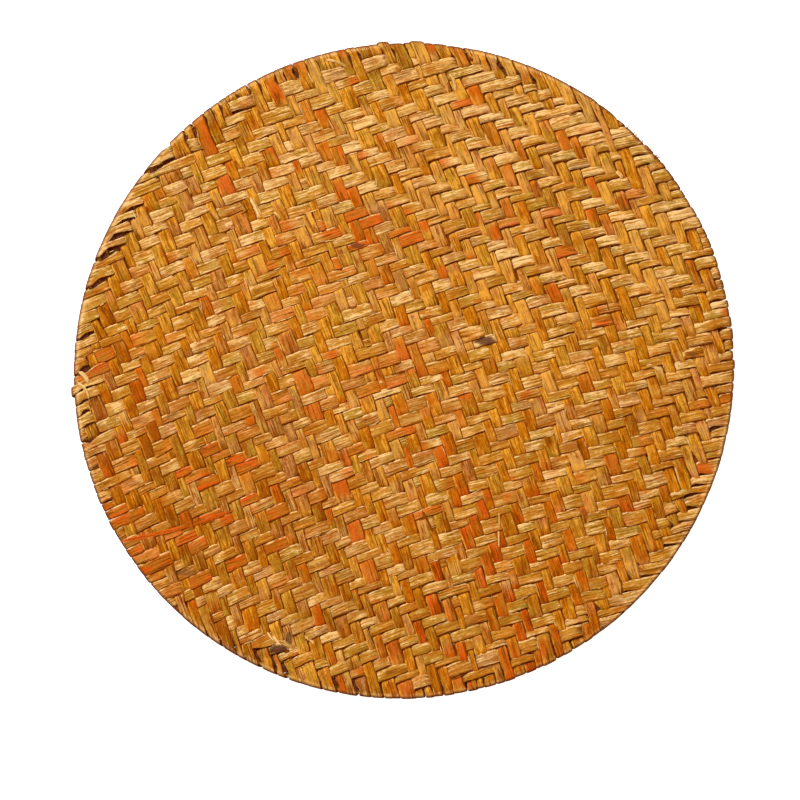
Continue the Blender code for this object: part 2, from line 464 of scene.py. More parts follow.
class MatColours(PropertyGroup):
    """The colours of dry water hyacinth, of the painted shade and stains on it, and of the table."""

    weft: colour_property("Weft", "Most of the weft, a dull tan", (0.61, 0.264, 0.027))
    weft_pale: colour_property("Weft, pale", "The pale streaks of a weft strip", (0.93, 0.60, 0.235))
    weft_deep: colour_property("Weft, deep", "The dark streaks of a weft strip", (0.42, 0.118, 0.003))
    warp: colour_property("Warp", "Most of the warp, a clear amber", (0.56, 0.184, 0.003))
    warp_pale: colour_property("Warp, pale", "The pale streaks of a warp strip", (0.86, 0.40, 0.045))
    warp_deep: colour_property("Warp, deep", "The dark streaks of a warp strip", (0.34, 0.070, 0.0008))
    straw: colour_property("Straw", "Strips dried pale", (0.90, 0.55, 0.19))
    olive: colour_property("Olive", "Strips dried green", (0.41, 0.228, 0.020))
    pink: colour_property("Pink", "Strips dried to a dusty pink", (0.54, 0.240, 0.085))
    red: colour_property("Red", "Strips dried orange red", (0.66, 0.088, 0.002))
    ember: colour_property("Ember", "The pale streaks of a red strip", (0.85, 0.24, 0.045))
    # Painted shade: where a strip dives under, on the fold, along puffed edges and as a thin shadow line on
    # each strip's dark edge; also the inside of cracks.
    crevice_shade: colour_property("Crevice", "Dust and shade where a strip dives under", (0.235, 0.044, 0.0001))
    # Real dark spots, and in the same colour the deep painted shade on the fold and by the rim.
    stain_and_deep_shade: colour_property("Stain", "Dark spots", (0.080, 0.020, 0.015))
    floor: colour_property("Floor", "The lit table under the mat", (0.62, 0.62, 0.62))


# ---- Small numeric helpers ----


def smooth_step(low, high, value):
    """0 below low, 1 above high and a soft curve between them."""
    share = np.clip((value - low) / (high - low), 0.0, 1.0)
    return share * share * (3.0 - 2.0 * share)


def blend(pair, share):
    """From the first of the pair at 0 to the second at 1."""
    return pair[0] + (pair[1] - pair[0]) * share


def angle_of(point):
    """The angle at which a point lies round the mat's middle."""
    return np.arctan2(point[..., 1], point[..., 0])


def unit(vectors):
    """The vectors with their lengths made 1."""
    return vectors / np.linalg.norm(vectors, axis=-1, keepdims=True)


def turn_between(a, b):
    """The smaller angle between two directions."""
    return np.abs((a - b + math.pi) % math.tau - math.pi)


def arc_share(arcs, point):
    """How strongly a point lies in one of these arcs of the rim, up to the arc's own strength."""
    angle = angle_of(point)
    share = np.zeros_like(angle)
    for first, last, strength in arcs:
        half = math.radians((last - first) / 2)
        away = turn_between(angle, math.radians((first + last) / 2))
        outside = smooth_step(half - ARC_BLEND, half + ARC_BLEND, away)
        share = np.maximum(share, strength * (1.0 - outside))
    return share


# ---- The plait: where every strip runs and how it goes over and under ----


class Unevenness:
    """Smooth random values along a strip, with a new one every spacing."""

    def __init__(self, draw, spacing):
        self.spacing = spacing
        knots = draw.normal(size=int(2 * WAVER_REACH / spacing) + 4)
        self.knots = np.clip(knots, -WAVER_LIMIT, WAVER_LIMIT)

    def __call__(self, at):
        place = (np.asarray(at) + WAVER_REACH) / self.spacing
        low = np.clip(np.floor(place).astype(int), 0, len(self.knots) - 2)
        share = smooth_step(0.0, 1.0, place - low)
        return self.knots[low] * (1.0 - share) + self.knots[low + 1] * share


def patch_cover(point, middle, radii):
    """1 in the middle of an oval patch, fading to 0 at its edge."""
    away = (point - np.array(middle)) / np.array(radii)
    return 1.0 - smooth_step(*PATCH_FADE, np.hypot(away[..., 0], away[..., 1]))


class Plait:
    """The whole weave, worked out from the sizes. A strip is named by its kind and its number."""

    def __init__(self, sizes):
        self.seed = sizes.seed
        self.radius = sizes.diameter / 2
        self.pitch = sizes.pitch
        self.thickness = sizes.thickness
        self.wave = sizes.wave
        self.tail = sizes.tail
        self.bottom = 0.5 * self.thickness + REST_GAP
        self.edges = [self.strip_edges(kind) for kind in (WEFT, WARP)]
        self.warp_over = self.crossings()

    def draw(self, kind, number, use):
        """A generator for each strip and use, so that a change to one leaves the rest as they are."""
        return np.random.default_rng([self.seed, kind, number + STRIP_REACH, use])

    def strip_edges(self, kind):
        """Where one strip of this set ends and the next begins, with the strips of uneven width."""
        draw = np.random.default_rng([self.seed, kind])
        shifts = np.clip(draw.normal(size=2 * STRIP_REACH + 1), -WIDTH_LIMIT, WIDTH_LIMIT)
        widths = self.pitch * (1.0 + WIDTH_SPREADS[kind] * np.diff(shifts) / math.sqrt(2.0))
        edges = np.concatenate([[0.0], np.cumsum(widths)])
        return edges - edges[STRIP_REACH]

    def between(self, kind, number):
        """The two sides of one strip's lane."""
        return self.edges[kind][number + STRIP_REACH], self.edges[kind][number + STRIP_REACH + 1]

    def place(self, kind, along, across):
        """X and Y of a point on the sheet, from how far it is along a strip of this kind and across."""
        s, t = (along, across) if kind == WEFT else (across, along)
        bent_s = s - WARP_BEND / 2 * t * t + SPREAD * s * t
        bent_t = t - WEFT_BEND / 2 * s * s
        x = bent_s * math.cos(WEFT_TURN) + bent_t * math.cos(WARP_TURN)
        y = bent_s * math.sin(WEFT_TURN) + bent_t * math.sin(WARP_TURN)
        return np.stack([x, y], axis=-1)

    def heading(self, kind, along, across):
        """The unit direction in which a strip of this kind runs here."""
        ahead, behind = (self.place(kind, along + step, across) for step in (HEADING_STEP, -HEADING_STEP))
        return unit(ahead - behind)

    def inside_rim(self, point):
        """How far inside the rim a point of the sheet lies."""
        rim = self.radius + OVAL_RISE * np.cos(2.0 * (angle_of(point) - OVAL_TURN))
        return rim - np.hypot(point[..., 0], point[..., 1])

    def pressed(self, point):
        """How flat the rim presses the strips here, from 0 to 1."""
        return 1.0 - smooth_step(*RIM_PRESSED, self.inside_rim(point))

    def puff(self, point):
        """How puffed up the strips are here, from 0, pressed flat, to 1."""
        return np.max([patch_cover(point, *patch) for patch in PUFFY_PATCHES], axis=0)

    def wrapping_kind(self, point):
        """Which set wraps the rim beside this point."""
        turn = np.degrees(angle_of(point)) % 360.0
        by_warp = np.any([(first < turn) & (turn < last) for first, last in WARP_WRAPS], axis=0)
        return np.where(by_warp, WARP, WEFT)

    def crossing_points(self):
        """Where each warp strip crosses each weft strip."""
        middles = [(edges[:-1] + edges[1:]) / 2 for edges in self.edges]
        s, t = np.meshgrid(middles[WARP], middles[WEFT], indexing="ij")
        return self.place(WEFT, s, t)

    def float_middle(self, kind, near):
        """The middle of the nearest float where a strip of this kind passes over two others."""
        point, over = self.crossing_points(), self.warp_over > 0.0
        if kind == WEFT:
            point, over = point.swapaxes(0, 1), ~over.T
        middles = (point[:, :-1] + point[:, 1:]) / 2
        away = np.linalg.norm(middles - np.array(near), axis=-1)
        away[~(over[:, :-1] & over[:, 1:])] = np.inf
        return middles[np.unravel_index(away.argmin(), away.shape)]

    def crossings(self):
        """For each warp and weft strip, 1 where the warp passes over and -1 where the weft does."""
        numbers = np.arange(-STRIP_REACH, STRIP_REACH)
        warp, weft = np.meshgrid(numbers, numbers, indexing="ij")
        step = (np.abs(warp - DIAMOND_WARP) + np.abs(weft - DIAMOND_WEFT)) % (2 * FLOAT)
        over = np.where(step < FLOAT, 1.0, -1.0)
        point = self.crossing_points()
        inside = self.inside_rim(point) / self.pitch
        wraps = np.where(self.wrapping_kind(point) == WARP, 1.0, -1.0)
        slants = self.slants(point)
        over = np.where(slants & (inside < SLANT_RING), -wraps, over)
        return np.where(inside < np.where(slants, SLANT_FLOAT, RIM_FLOAT), wraps, over)

    def slants(self, point):
        """True where the strips that wrap the rim meet it at a slant."""
        turn = np.where(self.wrapping_kind(point) == WARP, WARP_TURN, WEFT_TURN)
        return np.abs(np.cos(angle_of(point) - turn)) < RIM_SLANT

    def states(self, kind, number):
        """Along one strip: 1 for each strip of the other set that it passes over, and -1 for under."""
        if kind == WARP:
            return self.warp_over[number + STRIP_REACH, :]
        return -self.warp_over[:, number + STRIP_REACH]

    def middle_height(self, inside):
        """Height of the weave's middle: higher by the rim, where it lies on the turned ends."""
        low = self.bottom + self.wave
        high = RIM_THICKNESS - UNDER_RIM_TOP * self.thickness - self.wave
        return blend((high, low), smooth_step(RIM_FLAT, RIM_FLAT + RIM_SLOPE, inside))


class Strip:
    """One strip of the plait: its section, its run from rim to rim and its ends."""

    def __init__(self, plait, kind, number):
        self.plait, self.kind, self.number = plait, kind, number
        draw = plait.draw(kind, number, 0)
        lane = plait.between(kind, number)
        self.centre = (lane[0] + lane[1]) / 2
        self.half = (lane[1] - lane[0]) / 2
        self.bend = draw.uniform(*DIVE_SHARES)
        self.wavers = {}
        for name, rows in WAVERS.items():
            self.wavers[name] = [(Unevenness(draw, spacing), size) for spacing, size in rows]
        self.dye_noise = {dye: Unevenness(draw, DYE_SPACING) for dye in DYES}
        self.own_tone = draw.normal()
        self.own_dye = {dye: draw.uniform() for dye in DYES}
        self.patch_draw = draw.uniform(size=len(DYE_PATCHES))
        self.slit_depths = [draw.uniform(*SLIT_DEPTHS) * (draw.uniform() > SLIT_FEW) for _ in SIDES]
        self.slit_sides = [1.0 if draw.uniform() < SLIT_FEW else -1.0 for _ in SIDES]
        self.states = np.pad(plait.states(kind, number), 1, mode="edge")
        self.set_section(draw)
        runs = np.linspace(-MIDDLE_SEARCH, MIDDLE_SEARCH, 2 * STRIP_REACH + 1)
        self.middle = runs[np.argmax(plait.inside_rim(plait.place(kind, runs, self.centre)))]

    def waver(self, name, along):
        """How much one property of the strip strays at each point."""
        return sum(noise(along) * size for noise, size in self.wavers[name])

    def set_section(self, draw):
        """The section: how far across its points lie, from -1 to 1, and how far above the middle."""
        face = np.linspace(-1.0, 1.0, FACE_SPANS + 1)
        face = np.sign(face) * np.abs(face) ** EDGE_CROWDING
        self.across = np.concatenate([face, BACK_ACROSS])
        self.outward = np.where(np.arange(RING + 1) <= FACE_SPANS, 1.0, -1.0)
        half_thick = 0.5 * self.plait.thickness * draw.uniform(*THICKNESS_SPREAD)
        flat = [draw.uniform(*limits) for limits in FLAT_SQUARENESS]
        puffy = [draw.uniform(*limits) for limits in PUFFY_SQUARENESS]
        pressed_thick = PRESSED_THICKNESS * self.plait.thickness
        self.flat_rise = self.profile(half_thick, flat, FLAT_ROUNDNESS)
        self.puffy_rise = self.profile(half_thick * PUFFY_THICKNESS, puffy, PUFFY_ROUNDNESS)
        self.pressed_rise = self.profile(pressed_thick, PRESSED_SQUARENESS, PRESSED_ROUNDNESS)
        ribs = draw.choice(RIB_COUNTS)
        ripple = np.cos(math.pi * ribs * self.across + draw.uniform(0.0, math.tau))
        self.ribs = self.outward * draw.uniform(*RIB_HEIGHTS) * (ribs > 0) * ripple
        groove = np.exp(-(((self.across - draw.uniform(*GROOVE_PLACES)) / GROOVE_WIDTH) ** 2))
        self.groove = np.minimum(-self.outward, 0.0) * draw.choice(GROOVE_DEPTHS) * groove
        self.ribs[np.abs(self.across) == 1.0] = 0.0

    def profile(self, half_thick, squareness, roundness):
        """Half a thickness at the middle, falling to nothing at the edges, squarely on the dark side."""
        dark, lit = squareness
        power = np.where(self.across * LIT_SIDE[self.kind] > 0.0, lit, dark)
        inward = np.clip(1.0 - np.abs(self.across) ** power, 0.0, 1.0)
        return self.outward * half_thick * inward**roundness

    def point(self, along):
        """X and Y of each point of the section."""
        return self.plait.place(self.kind, along, self.lateral(along))

    def rise(self, along, point):
        """How far each point of the section lies above the strip's middle."""
        rise = blend((self.flat_rise, self.puffy_rise), self.plait.puff(point))
        rise = rise + (self.ribs + self.groove) * smooth_step(*RIB_SHOWS, self.waver("ribs", along))
        return blend((rise, self.pressed_rise), self.plait.pressed(point))

    def level(self, along):
        """From -1, under, to 1, over, at each point, and how the strip swells over what it crosses."""
        edges = self.plait.edges[1 - self.kind]
        cell = np.clip(np.searchsorted(edges, along) - 1, 0, len(edges) - 2)
        share = np.clip((along - edges[cell]) / (edges[cell + 1] - edges[cell]), 0.0, 1.0)
        before, here, after = (self.states[cell + step] for step in (0, 1, 2))
        risen = np.sin(math.pi / 2 * np.clip(share / self.bend, 0.0, 1.0))
        yet_to_fall = np.sin(math.pi / 2 * np.clip((1.0 - share) / self.bend, 0.0, 1.0))
        level = here - 0.5 * (here - before) * (1.0 - risen) - 0.5 * (here - after) * (1.0 - yet_to_fall)
        return level, here * np.sin(math.pi * share)

    def lateral(self, along):
        """How far across the sheet each point of the section lies."""
        middle = self.centre + self.waver("side", along)
        point = self.plait.place(self.kind, along, middle)
        puff = self.plait.puff(point)
        level = self.level(along)[0]
        pressed = self.plait.pressed(point)
        fill = STRIP_FILL[self.kind] - PUFFY_GAP * puff + self.waver("width", along)
        fill = fill + blend(BARREL, puff) * (np.abs(level) - 0.5)
        fill = blend((fill, blend(RIM_FILLS, arc_share(STEPPED_ARCS, point))), pressed)
        edge = self.half * fill * self.across
        for side, name in zip(SIDES, ("near_edge", "far_edge")):
            by_this_edge = np.clip(self.across * side, 0.0, 1.0) ** 2
            edge = edge + (1.0 - pressed) * self.waver(name, along) * by_this_edge
        bow = BOW * puff * (level + BOW_SHIFT) * (self.kind == WEFT)
        return middle + bow + (edge - self.slit(along, point))

    def slit(self, along, point):
        """How far across each point of the section is drawn in by the slits near the strip's two ends."""
        inside = self.plait.inside_rim(point)
        depth = np.zeros_like(inside)
        for row in SLIT_ARCS:
            here = np.interp(inside, row["reach"], (0.0, 1.0, 0.0))
            depth = np.maximum(depth, arc_share([(*row["arc"], row["depth"])], point) * here)
        drawn_in = np.zeros_like(inside)
        for end, side, share in zip(SIDES, self.slit_sides, self.slit_depths):
            near_side = np.clip(self.across * side, 0.0, 1.0) * share * (depth * (np.sign(along) == end))
            drawn_in = drawn_in + 2.0 * self.half * side * near_side
        return drawn_in

    def height(self, along, point):
        """Height of the strip's middle at each point."""
        level, swell = self.level(along)
        base = self.plait.middle_height(self.plait.inside_rim(point))
        shingle = SHINGLE * LIT_SIDE[self.kind] * (1.0 - self.plait.pressed(point))
        roll = (self.waver("roll", along) - shingle) * self.across * self.half
        return base + self.plait.wave * level + SWELL * swell + self.waver("height", along) + roll

    def reach(self, side, inset):
        """How far along the sheet each point of the section gets before it is this near the rim."""
        near, far = np.zeros(RING + 1), np.full(RING + 1, REACH_LIMIT * self.plait.radius)
        for _ in range(HALVINGS):
            half_way = (near + far) / 2
            is_inside = self.plait.inside_rim(self.point(self.middle + side * half_way)) > inset
            near, far = np.where(is_inside, half_way, near), np.where(is_inside, far, half_way)
        return self.middle + side * near

    def exists(self):
        """True if the whole width of the strip has a run inside the rim."""
        return self.plait.inside_rim(self.point(np.full(RING + 1, self.middle))).min() > LEAST_INSIDE

    def end(self, side):
        """The end on one side: where each point of the section starts to turn, or where it is cut."""
        centre_end = self.reach(side, 0.0)[FACE_SPANS // 2]
        rim_point = self.plait.place(self.kind, centre_end, self.centre)
        if self.plait.wrapping_kind(rim_point) != self.kind:
            return self.reach(side, CUT_INSIDE), None
        stepped = arc_share(STEPPED_ARCS, rim_point)
        draw = self.plait.draw(self.kind, self.number, 5 + side)
        stray = draw.uniform(-1.0, 1.0) * blend(FOLD_STRAYS, stepped)
        for where, out in NUBS:
            if turn_between(angle_of(rim_point), math.radians(where)) < NUB_HALF_WIDTH:
                stray += out
        top = self.plait.middle_height(0.0) + self.plait.wave
        turn_radius = (top - self.plait.bottom) / 2
        corners = CORNER_CUT * stepped * np.abs(self.across) ** 4
        inset = turn_radius + 0.5 * self.plait.thickness - stray + corners
        tail = self.plait.tail * draw.uniform(*TAIL_SPREAD)
        return self.reach(side, inset), {"radius": turn_radius, "tail": tail}

    def rows(self, first, last):
        """Where the rows lie, from 0 to 1: closer where the strip rises or dives, and near its ends."""
        edges = self.plait.edges[1 - self.kind]
        marks = [(edges[:-1] + edges[1:]) / 2]
        changes = self.states[1:-2] != self.states[2:-1]
        for offset in DIVE_ROWS:
            beside = np.diff(edges)[1:] if offset > 0.0 else np.diff(edges)[:-1]
            near = edges[1:-1] + offset * self.bend * beside
            marks.append(near if offset == 0.0 else near[changes])
        marks = np.concatenate(marks)
        marks = marks[(marks > first + END_RUN) & (marks < last - END_RUN)]
        near_ends = np.arange(0.0, min(END_RUN, (last - first) / 2), END_STEP)
        marks = np.sort(np.concatenate([marks, first + near_ends, last - near_ends]))
        apart = np.concatenate([[True], np.diff(marks) > CLOSEST_ROWS])
        apart[-1] = True
        return (marks[apart] - first) / (last - first)

    def flat_run(self, along):
        """The part between the ends: middle, upward direction, flat distance, rise, fold and level."""
        point = self.point(along)
        height = self.height(along, point)
        ahead, behind = (self.height(along + step, point) for step in (SLOPE_STEP, -SLOPE_STEP))
        slope = (ahead - behind) / (2 * SLOPE_STEP)
        heading = self.plait.heading(self.kind, along, self.lateral(along))
        middle = np.concatenate([point, height[..., None]], axis=-1)
        up = np.concatenate([-slope[..., None] * heading, np.ones_like(height)[..., None]], axis=-1)
        return middle, unit(up), along, self.rise(along, point), np.zeros_like(along), self.level(along)[0]

    def turned_end(self, side, start, turn):
        """The same for the rows past the fold: round the rim and back underneath, as a mirrored run."""
        across = self.lateral(start)
        point = self.plait.place(self.kind, start, across)
        top = self.height(start, point)
        heading = side * self.plait.heading(self.kind, start, across)
        out = unit(point)
        squarely = (heading * out).sum(axis=-1, keepdims=True)
        along_rim = heading - squarely * out
        radius = turn["radius"]
        drop = (top - self.plait.bottom) / 2
        turns = np.linspace(0.0, math.pi, TURN_ROWS + 1)[1:]
        tails = np.arange(1, int(turn["tail"] / TAIL_STEP) + 1) * TAIL_STEP
        rows = [(angle, angle * radius, 0.0) for angle in turns]
        rows += [(math.pi, math.pi * radius + past, past) for past in tails]
        middles, ups, alongs = [], [], []
        for angle, outward_run, past in rows:
            run = outward_run / squarely
            place = point + along_rim * run + out * (radius * math.sin(angle) - past)
            lift = TAIL_LIFT * smooth_step(*TAIL_RISES, past / turn["tail"])
            height = top - drop * (1.0 - math.cos(angle)) + lift
            middles.append(np.concatenate([place, height[:, None]], axis=-1))
            up = np.full_like(height, math.cos(angle))
            ups.append(np.concatenate([out * math.sin(angle), up[:, None]], axis=-1))
            alongs.append(start + side * run[:, 0])
        rise = np.broadcast_to(self.pressed_rise, (len(rows), RING + 1))
        folded = np.broadcast_to(np.array([angle for angle, _, _ in rows])[:, None], rise.shape)
        return np.array(middles), np.array(ups), np.array(alongs), rise, folded, np.ones_like(rise)

    def surface(self):
        """Places, flat distances and colours: rows along the strip, by points of the section."""
        ends = {side: self.end(side) for side in SIDES}
        first, last = ends[-1][0], ends[1][0]
        share = self.rows(first.mean(), last.mean())[:, None]
        parts = [self.flat_run(first * (1.0 - share) + last * share)]
        for side, (start, turn) in ends.items():
            if turn:
                past = self.turned_end(side, start, turn)
                parts = [*parts, past] if side == 1 else [[rows[::-1] for rows in past], *parts]
        middle, up, along, rise, folded, level = (np.concatenate(rows) for rows in zip(*parts))
        place = middle + up * rise[..., None]
        place[..., 2] = np.maximum(place[..., 2], REST_GAP)
        dye, pink = self.dye(along, middle[..., :2])
        return {
            "place": place,
            "along": along,
            "across": np.broadcast_to(self.across * self.half, along.shape),
            "face": FACE_SPANS,
            "dye": dye,
            "shade_edge_pink": self.shade_edge_pink(middle[..., :2], level, folded, pink),
        }

    def dye(self, along, point):
        """The tone and the red, olive and pale shares of each point, as one colour, and the pink share."""
        tone = MEAN_TONE + OWN_TONE * self.own_tone + self.waver("tone", along)
        # Painted light and shade: whole regions made paler toward the top and darker toward the bottom left.
        for patch in FALLOFF_PATCHES:
            tone = tone + patch["change"] * patch_cover(point, patch["middle"], patch["radii"])
        noises = {dye: self.dye_noise[dye](along) for dye in DYES}
        shares = {}
        for dye, row in DYES.items():
            shares[dye] = row["strength"] * smooth_step(*row["flecks"], noises[dye])
            if self.own_dye[dye] < row["strips"]:
                dyed = row["strength"] * smooth_step(*DYED_STRIP, noises[dye])
                shares[dye] = np.maximum(shares[dye], dyed)
        for patch, chance in zip(DYE_PATCHES, self.patch_draw):
            if patch["kind"] == self.kind and chance <= patch["strips"]:
                cover = patch_cover(point, patch["middle"], patch["radii"])
                dyed = patch["strength"] * cover * smooth_step(*DYED_PATCH, noises[patch["dye"]])
                shares[patch["dye"]] = np.maximum(shares[patch["dye"]], dyed)
        # Painted highlight: the pale share is raised along the smooth arcs of the rim, where the fold catches
        # the light.
        at_rim = 1.0 - smooth_step(*RIM_PAINTED_HIGHLIGHT, self.plait.inside_rim(point))
        smooth = 1.0 - arc_share(STEPPED_ARCS, point)
        shares["pale"] = np.maximum(shares["pale"], RIM_PALENESS * at_rim * smooth)
        pink = shares.pop("pink")
        return np.stack([tone, *shares.values()], axis=-1), pink

    def shade_edge_pink(self, point, level, folded, pink):
        """Painted shade where the strip dives under, on the fold and along puffed edges, deep painted shade
        on the fold and by the rim, nearness to the lit edge, and the pink share.
        """
        shade = smooth_step(*DIVE_SHADE, -level * self.outward) * (folded == 0.0)
        on_fold = smooth_step(*FOLD_DARKENS, folded) * (1.0 - smooth_step(*FOLD_CLEARS, folded))
        puffy_edge = PUFFY_EDGE * self.plait.puff(point) * (np.abs(self.across) > EDGE_BAND)
        shade = np.maximum(np.maximum(shade, FOLD_SHADE * on_fold), puffy_edge)
        under = smooth_step(*DEEP_UNDER, shade) * (level < 0.0) * (folded == 0.0)
        beside_rim = 1.0 - smooth_step(*RIM_SHADE, self.plait.inside_rim(point))
        # Deep painted shade: a dark line on the fold, and the layer below darkened by the rim, where it shows
        # through the slits.
        stain_and_deep_shade = np.maximum(FOLD_DEEP_SHADE * on_fold, RIM_DEEP_SHADE * beside_rim * under)
        edge = np.broadcast_to(0.5 + 0.5 * self.across * LIT_SIDE[self.kind], level.shape)
        return np.stack([shade, stain_and_deep_shade, edge, pink], axis=-1)


# ---- Loose bits, split fibres and hairs ----


def towards(angle):
    """The flat unit vector at this angle."""
    return np.array([math.cos(angle), math.sin(angle)])


def bit_surface(plait, start, end, width, bend, dye, blunt=BIT_TAPER):
    """A thin splinter of straw on top of the weave. Blunt is the share of it that tapers."""
    start, end = np.array(start), np.array(end)
    run = end - start
    length = np.hypot(*run)
    share = np.linspace(0.0, 1.0, BIT_ROWS + 1)[:, None]
    turns = np.linspace(0.0, math.tau, BIT_RING + 1)[None, :]
    beside = np.array([-run[1], run[0]]) / length
    taper = np.clip(BIT_TIP + np.minimum(share, 1.0 - share) / blunt, 0.0, 1.0)
    across = 0.5 * width * taper * np.cos(turns)
    aside = across + bend * np.sin(math.pi * share)
    ground = start + run * share[..., None] + beside * aside[..., None]
    top = plait.middle_height(plait.inside_rim(ground)) + plait.wave + 0.5 * plait.thickness
    thick = 0.5 * BIT_THICKNESS * min(width, 2.0 * BIT_LIFT) * taper
    height = top + BIT_LIFT * np.sin(math.pi * share) ** 0.5 + thick * np.sin(turns)
    dyes, shade = BIT_DYES[dye]
    shade_edge_pink = (shade, 0.0, 0.5, 0.0)
    shape = across.shape
    return {
        "place": np.concatenate([ground, height[..., None]], axis=-1),
        "along": np.broadcast_to(share * length, shape) + BIT_GRAIN[0] * start[0],
        "across": across + BIT_GRAIN[1] * start[1],
        "face": BIT_RING // 2,
        "dye": np.broadcast_to(dyes, (*shape, 4)),
        "shade_edge_pink": np.broadcast_to(shade_edge_pink, (*shape, 4)),
    }


def fibre_surfaces(plait):
    """Fibres split from the strips, each beside a strip that it came from."""
    draw = np.random.default_rng([plait.seed, 7])
    made = []
    while len(made) < FIBRES:
        kind = int(draw.integers(2))
        number = int(draw.integers(-STRIP_REACH, STRIP_REACH))
        edge = plait.between(kind, number)[0]
        along = draw.uniform(-plait.radius, plait.radius)
        length = draw.uniform(*FIBRE_LENGTHS)
        turn = draw.normal() * FIBRE_STRAY
        bend = draw.normal() * FIBRE_BEND * length
        dye = FIBRE_DYES[draw.integers(len(FIBRE_DYES))]
        width = draw.uniform(*FIBRE_WIDTHS)
        start = plait.place(kind, along, edge)
        heading = plait.heading(kind, along, edge)
        end = start + towards(angle_of(heading) + turn) * length
        cells = np.searchsorted(plait.edges[1 - kind], [along, along + length]) - 1
        on_top = plait.states(kind, number)[np.clip(cells, 0, 2 * STRIP_REACH - 1)].min() > 0.0
        if on_top and min(plait.inside_rim(start), plait.inside_rim(end)) > RIM_FLAT / 2:
            made.append(bit_surface(plait, start, end, width, bend, dye, FIBRE_TAPER))
    return made


def hair_surfaces(plait):
    """Hairs that stick out of the rim."""
    draw = np.random.default_rng([plait.seed, 8])
    made = []
    for arc, count, lengths in HAIR_ARCS:
        for _ in range(count):
            angle = math.radians(draw.uniform(*arc))
            turn = angle + draw.uniform(-HAIR_TURN, HAIR_TURN)
            start = (plait.radius - HAIR_ROOT) * towards(angle)
            end = start + (HAIR_ROOT + draw.uniform(*lengths)) * towards(turn)
            bend = HAIR_BEND * draw.normal()
            made.append(bit_surface(plait, start, end, HAIR_WIDTH, bend, "dark", FIBRE_TAPER))
    return made


# ---- Meshes ----

# How much of its lane a strip takes on the OFBake map, and the room past the longest. Then the angle
# from which an edge is sharp, and how near the two sides of a strip's seam lie.
LANE_FILL = 0.94
BAKE_MARGIN = 1.005
SMOOTH_UP_TO = math.radians(70.0)
SEAM = 1e-7


def select_only(*objects):
    """Selects these objects alone and makes the first one active."""
    bpy.ops.object.select_all(action="DESELECT")
    for obj in objects:
        obj.select_set(True)
    bpy.context.view_layer.objects.active = objects[0]


def loose_ribbon(surface, lane, lanes, longest):
    """One strip as its own object: a flat grid laid round the strip's section and along its run."""
    rows, ring = surface["along"].shape
    bpy.ops.mesh.primitive_grid_add(x_subdivisions=rows - 1, y_subdivisions=ring - 1, size=2.0)
    grid = bpy.context.object
    mesh = grid.data
    flat = np.empty(len(mesh.vertices) * 3)
    mesh.vertices.foreach_get("co", flat)
    flat = flat.reshape(-1, 3)
    row = np.rint((flat[:, 0] + 1.0) / 2 * (rows - 1)).astype(int)
    point = np.rint((flat[:, 1] + 1.0) / 2 * (ring - 1)).astype(int)
    mesh.vertices.foreach_set("co", surface["place"][row, point].astype(np.float32).ravel())
    for name in ("dye", "shade_edge_pink"):
        layer = mesh.attributes.new(name, "FLOAT_COLOR", "POINT")
        layer.data.foreach_set("color", surface[name][row, point].astype(np.float32).ravel())
    corner = np.empty(len(mesh.loops), np.int32)
    mesh.loops.foreach_get("vertex_index", corner)
    row, point = row[corner], point[corner]
    along = surface["along"][row, point]
    across = surface["across"][row, point] + lane + np.where(point <= surface["face"], 0.0, 0.5)
    weave = mesh.uv_layers[0]
    weave.name = "weave"
    weave.uv.foreach_set("vector", np.stack([along, across], axis=-1).astype(np.float32).ravel())
    run = (along - surface["along"].min()) / longest
    breadth = (lane + LANE_FILL * point / (ring - 1)) / lanes
    bake = mesh.uv_layers.new(name="OFBake")
    bake.uv.foreach_set("vector", np.stack([run, breadth], axis=-1).astype(np.float32).ravel())
    return grid


def join_ribbons(name, surfaces):
    """Joins the strips of one piece, closes the seam along each and fills their cut ends."""
    longest = max(np.ptp(surface["along"]) for surface in surfaces) * BAKE_MARGIN
    lanes = len(surfaces)
    ribbons = [loose_ribbon(surface, lane, lanes, longest) for lane, surface in enumerate(surfaces)]
    select_only(*ribbons)
    bpy.ops.object.join()
    piece = bpy.context.object
    bpy.ops.object.transform_apply(location=True, rotation=True, scale=True)
    bpy.ops.object.mode_set(mode="EDIT")
    bpy.ops.mesh.select_all(action="SELECT")
    bpy.ops.mesh.remove_doubles(threshold=SEAM)
    bpy.ops.mesh.fill_holes(sides=0)
    bpy.ops.mesh.normals_make_consistent(inside=False)
    bpy.ops.object.mode_set(mode="OBJECT")
    piece.name = name
    piece.data.name = name
    bpy.ops.object.shade_smooth_by_angle(angle=SMOOTH_UP_TO)
    return piece


# ---- Materials ----


class Wire:
    """A shader socket that takes part in sums. Plain numbers may stand on either side."""

    def __init__(self, board, socket):
        self.board, self.socket = board, socket

    def math(self, operation, *others, clamp=False):
        values = {0: self, **{index + 1: other for index, other in enumerate(others)}}
        return self.board.node("ShaderNodeMath", {"operation": operation, "use_clamp": clamp}, values)

    def __add__(self, other):
        return self.math("ADD", other)

    def __sub__(self, other):
        return self.math("SUBTRACT", other)

    def __mul__(self, other):
        return self.math("MULTIPLY", other)

    def __rsub__(self, other):
        return self.math("MULTIPLY_ADD", -1.0, other)

    __radd__ = __add__
    __rmul__ = __mul__

    def clamped(self):
        return self.math("ADD", 0.0, clamp=True)


